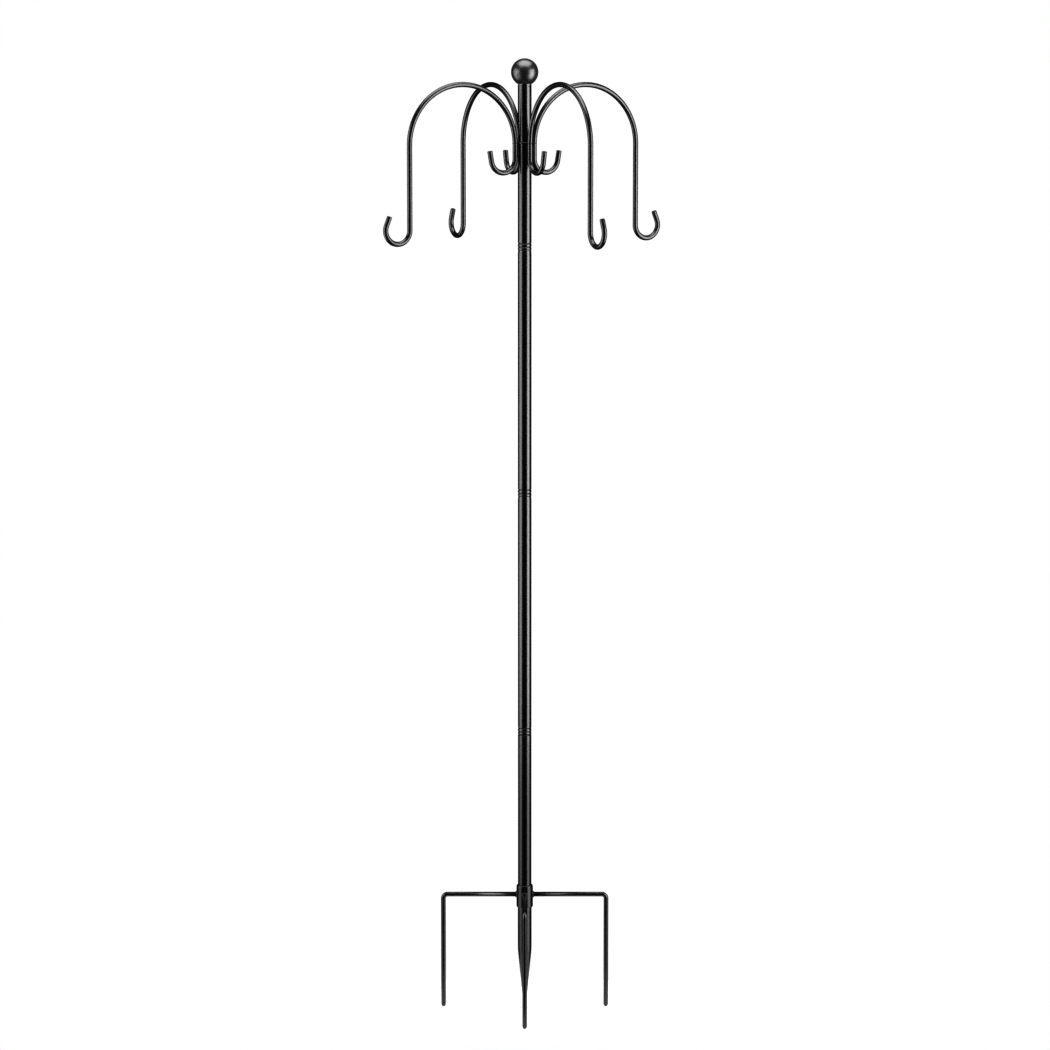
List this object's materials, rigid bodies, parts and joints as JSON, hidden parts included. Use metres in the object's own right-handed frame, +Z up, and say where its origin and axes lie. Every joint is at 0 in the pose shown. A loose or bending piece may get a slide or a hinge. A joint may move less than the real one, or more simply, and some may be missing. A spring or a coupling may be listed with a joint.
{
  "type": "garden hanging station",
  "caption": "Tall sectional steel pole with a ball finial, arched arms ending in large and small hooks, and a spiked base with prongs, for hanging bird feeders.",
  "frame": {"origin": "on the pole's axis at the ground line, just under the base collar, where the buried spike begins", "axes": "+Z up along the pole, +X towards the first arm, +Y towards the second"},
  "size_m": [0.5956, 0.5956, 1.8226],
  "materials": {
    "black_coat": "semi-gloss powder coat",
    "coated_weld": "semi-gloss powder coat over weld beads",
    "finial_coat": "satin powder coat",
    "zinc_steel": "zinc plated",
    "black_nylon": "moulded"
  },
  "bodies": {
    "base": {"base_pole": "black_coat", "ground_spike": "black_coat", "base_collar": "black_coat", "collar_ring_welds": "coated_weld", "prong_welds": "coated_weld", "prong_1": "black_coat", "prong_2": "black_coat", "prong_3": "black_coat", "prong_4": "black_coat"},
    "base_coupler": {"base_coupler": "zinc_steel"},
    "lower_section": {"lower_pole": "black_coat"},
    "middle_coupler": {"middle_coupler": "zinc_steel"},
    "upper_section": {"upper_pole": "black_coat"},
    "top_coupler": {"top_coupler": "zinc_steel"},
    "head": {"head_pole": "black_coat", "arm_hub": "black_coat", "hub_ring_welds": "coated_weld", "arm_welds": "coated_weld", "arm_1": "black_coat", "arm_2": "black_coat", "arm_3": "black_coat", "arm_4": "black_coat", "top_insert": "black_nylon", "insert_pin": "black_coat"},
    "finial": {"finial_stud": "zinc_steel", "ball_finial": "finial_coat"}
  },
  "joints": [
    {"name": "base_joint_lift", "type": "slide", "parent": "base", "child": "base_coupler", "axis": [0, 0, 1], "range_m": [0, 0.07]},
    {"name": "base_joint_turn", "type": "hinge", "parent": "base_coupler", "child": "lower_section", "pos_m": [0, 0, 0.34], "axis": [0, 0, 1], "continuous": true},
    {"name": "middle_joint_lift", "type": "slide", "parent": "lower_section", "child": "middle_coupler", "axis": [0, 0, 1], "range_m": [0, 0.07]},
    {"name": "middle_joint_turn", "type": "hinge", "parent": "middle_coupler", "child": "upper_section", "pos_m": [0, 0, 0.8003], "axis": [0, 0, 1], "continuous": true},
    {"name": "top_joint_lift", "type": "slide", "parent": "upper_section", "child": "top_coupler", "axis": [0, 0, 1], "range_m": [0, 0.07]},
    {"name": "top_joint_turn", "type": "hinge", "parent": "top_coupler", "child": "head", "pos_m": [0, 0, 1.2666], "axis": [0, 0, 1], "continuous": true},
    {"name": "finial_turn", "type": "hinge", "parent": "head", "child": "finial", "pos_m": [0, 0, 1.5759], "axis": [0, 0, 1], "continuous": true}
  ]
}
